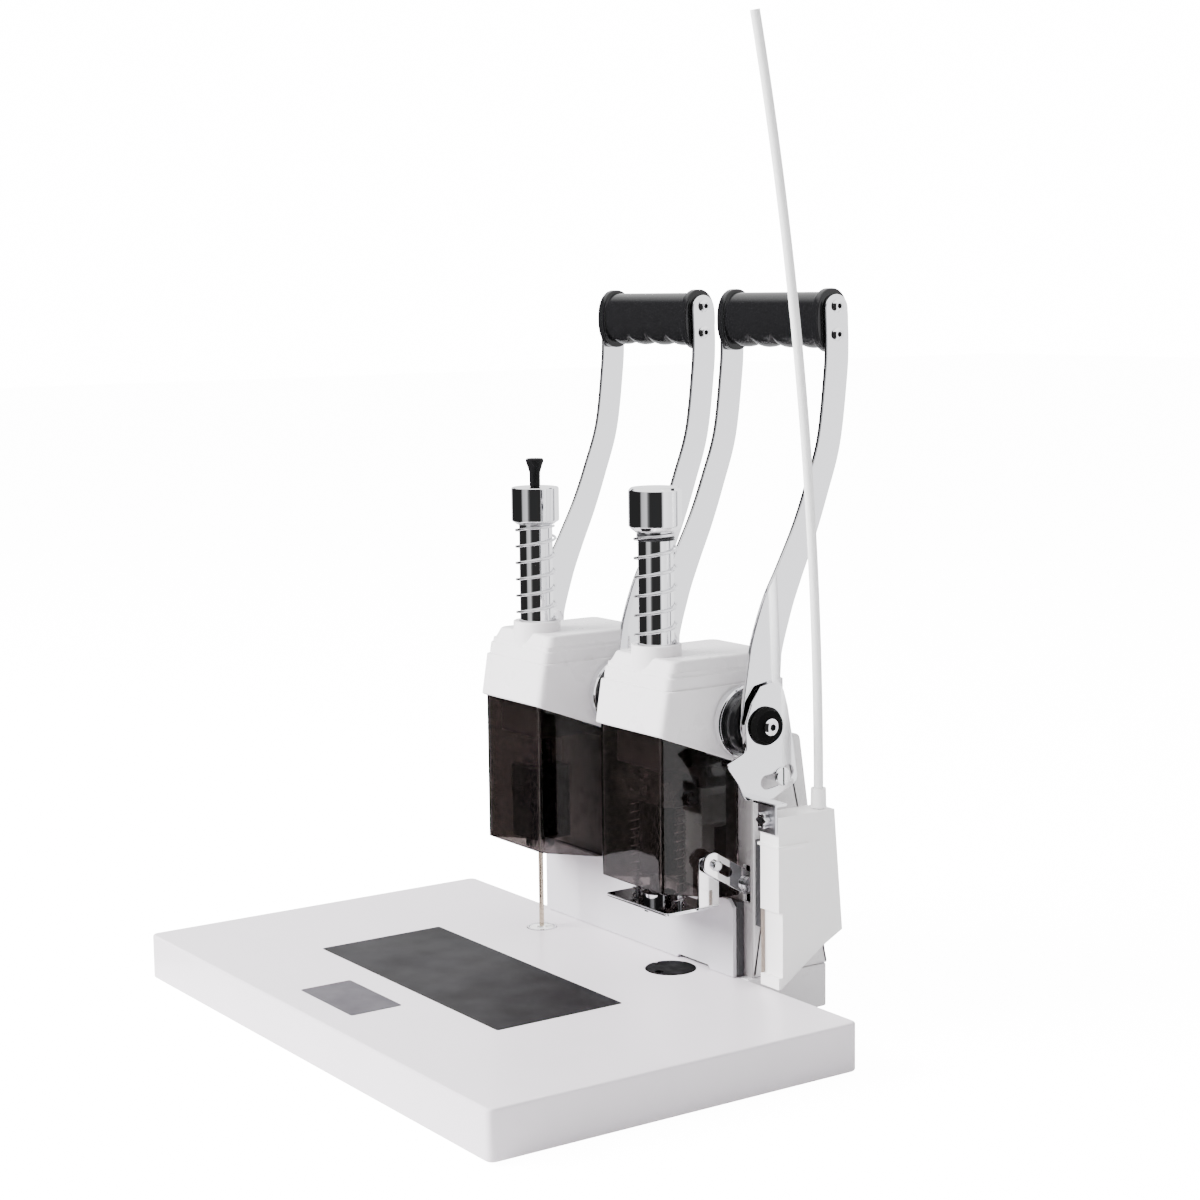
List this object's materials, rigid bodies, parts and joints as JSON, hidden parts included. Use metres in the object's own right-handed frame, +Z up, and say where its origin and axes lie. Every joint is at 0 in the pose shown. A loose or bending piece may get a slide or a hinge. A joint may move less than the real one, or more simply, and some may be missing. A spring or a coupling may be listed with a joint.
{
  "type": "rivet binding machine",
  "caption": "Desk machine that drills a stack of paper and presses a plastic rivet through it, with two sprung lever heads behind a white work board and a rivet tube in a cutter box.",
  "frame": {"origin": "on the bench, under the middle of the machine's outer box", "axes": "+X to the operator's right, +Y to the rear, +Z up"},
  "size_m": [0.38, 0.2928, 0.5439],
  "materials": {
    "laminate": "satin white laminate",
    "white_paint": "smooth white powder coat",
    "white_plastic": "smooth white moulding",
    "chrome": "mirror plate",
    "steel": "bright turned steel",
    "cast_frame": "grey machined casting",
    "dark_steel": "dark satin coat",
    "black_plastic": "glossy black",
    "smoked": "dark smoked clear plastic",
    "rubber": "matte",
    "nylon": "off-white translucent",
    "circuit": "green circuit card"
  },
  "bodies": {
    "root": {"base_board": "laminate", "foot_front_left": "rubber", "foot_front_right": "rubber", "foot_rear_left": "rubber", "foot_rear_right": "rubber", "rear_base": "white_paint", "drill_pad": "nylon", "drill_pad_ring": "chrome", "anvil_disc": "black_plastic", "back_plate": "white_paint", "plate_support": "dark_steel", "column_frame": "cast_frame", "control_board": "circuit", "rear_cover": "white_plastic", "power_inlet": "black_plastic", "drill_head_cover": "white_paint", "press_head_cover": "white_paint", "drill_head_frame": "cast_frame", "press_head_frame": "cast_frame", "drill_guard": "smoked", "press_guard": "smoked", "link_stud": "steel", "cutter_post": "steel", "tube_box": "white_plastic", "tube_chute": "nylon", "guide_block": "steel", "box_bracket": "dark_steel"},
    "drill_handle": {"drill_lever_shaft": "steel", "drill_hub_left": "chrome", "drill_hub_right": "chrome", "drill_arm_left": "chrome", "drill_arm_right": "chrome", "drill_grip": "black_plastic"},
    "press_handle": {"press_lever_shaft": "steel", "press_hub_left": "chrome", "press_hub_right": "chrome", "press_arm_left": "chrome", "press_arm_right": "chrome", "press_grip": "black_plastic"},
    "drill_quill": {"drill_column": "chrome", "drill_cap": "chrome", "drill_motor": "black_plastic", "drill_return_spring": "steel"},
    "drill_spindle": {"drill_chuck": "chrome", "drill_bit": "steel"},
    "rod_knob": {"clearing_rod": "black_plastic"},
    "press_quill": {"press_column": "chrome", "press_cap": "chrome", "press_crosshead": "steel", "press_heater": "steel", "press_return_spring": "steel"},
    "foot": {"presser_foot": "chrome", "foot_spring_left": "steel", "foot_spring_right": "steel"},
    "link": {"slotted_link": "chrome"},
    "cutter_plate": {"cutter_lever": "chrome", "cutter_bush": "black_plastic"},
    "cutter_slide": {"cutter_blade": "steel"},
    "tube": {"rivet_tube": "nylon"},
    "rocker": {"power_rocker": "black_plastic"}
  },
  "joints": [
    {"name": "drill_handle_hinge", "type": "hinge", "parent": "root", "child": "drill_handle", "pos_m": [-0.0631, 0.08205, 0.17], "axis": [1, 0, 0], "range_deg": [0, 48.95]},
    {"name": "press_handle_hinge", "type": "hinge", "parent": "root", "child": "press_handle", "pos_m": [0.0562, 0.08205, 0.17], "axis": [1, 0, 0], "range_deg": [0, 75.65]},
    {"name": "drill_quill_slide", "type": "slide", "parent": "root", "child": "drill_quill", "axis": [0, 0, -1], "range_m": [0, 0.022], "stiffness_N_per_m": 400, "springref_m": -0.03, "deforming": ["drill_return_spring"]},
    {"name": "drill_spindle_turn", "type": "hinge", "parent": "drill_quill", "child": "drill_spindle", "pos_m": [-0.0631, 0.04785, 0.0877], "axis": [0, 0, 1], "continuous": true},
    {"name": "clearing_rod_slide", "type": "slide", "parent": "drill_quill", "child": "rod_knob", "axis": [0, 0, -1], "range_m": [0, 0.012], "stiffness_N_per_m": 60, "springref_m": -0.01},
    {"name": "press_quill_slide", "type": "slide", "parent": "root", "child": "press_quill", "axis": [0, 0, -1], "range_m": [0, 0.034], "stiffness_N_per_m": 400, "springref_m": -0.03, "deforming": ["press_return_spring"]},
    {"name": "foot_slide", "type": "slide", "parent": "press_quill", "child": "foot", "axis": [0, 0, 1], "range_m": [0, 0.007], "stiffness_N_per_m": 200, "springref_m": -0.01, "deforming": ["foot_spring_left", "foot_spring_right"]},
    {"name": "thickness_link_hinge", "type": "hinge", "parent": "root", "child": "link", "pos_m": [0.0903, 0.08222, 0.0802], "axis": [1, 0, 0], "range_deg": [0, 64.31]},
    {"name": "cutter_lever_hinge", "type": "hinge", "parent": "root", "child": "cutter_plate", "pos_m": [0.0562, 0.08205, 0.17], "axis": [1, 0, 0], "range_deg": [0, 8]},
    {"name": "cutter_slide", "type": "slide", "parent": "root", "child": "cutter_slide", "axis": [0, 1, 0], "range_m": [0, 0.0073]},
    {"name": "tube_lift", "type": "slide", "parent": "root", "child": "tube", "axis": [0, 0, 1], "range_m": [0, 0.09]},
    {"name": "rocker_tilt", "type": "hinge", "parent": "root", "child": "rocker", "pos_m": [0.06305, 0.12628, 0.06127], "axis": [1, 0, 0], "range_deg": [0, 14]}
  ],
  "couplings": [
    {"joint": "drill_quill_slide", "follows": "drill_handle_hinge", "m_per_rad": 0.025748},
    {"joint": "press_quill_slide", "follows": "press_handle_hinge", "m_per_rad": 0.025748},
    {"joint": "foot_slide", "follows": "press_handle_hinge", "m_per_rad": 0.005301},
    {"joint": "thickness_link_hinge", "follows": "press_handle_hinge", "ratio": 0.84991},
    {"joint": "cutter_lever_hinge", "follows": "press_handle_hinge", "ratio": 0.10574},
    {"joint": "cutter_slide", "follows": "press_handle_hinge", "m_per_rad": 0.005528}
  ]
}
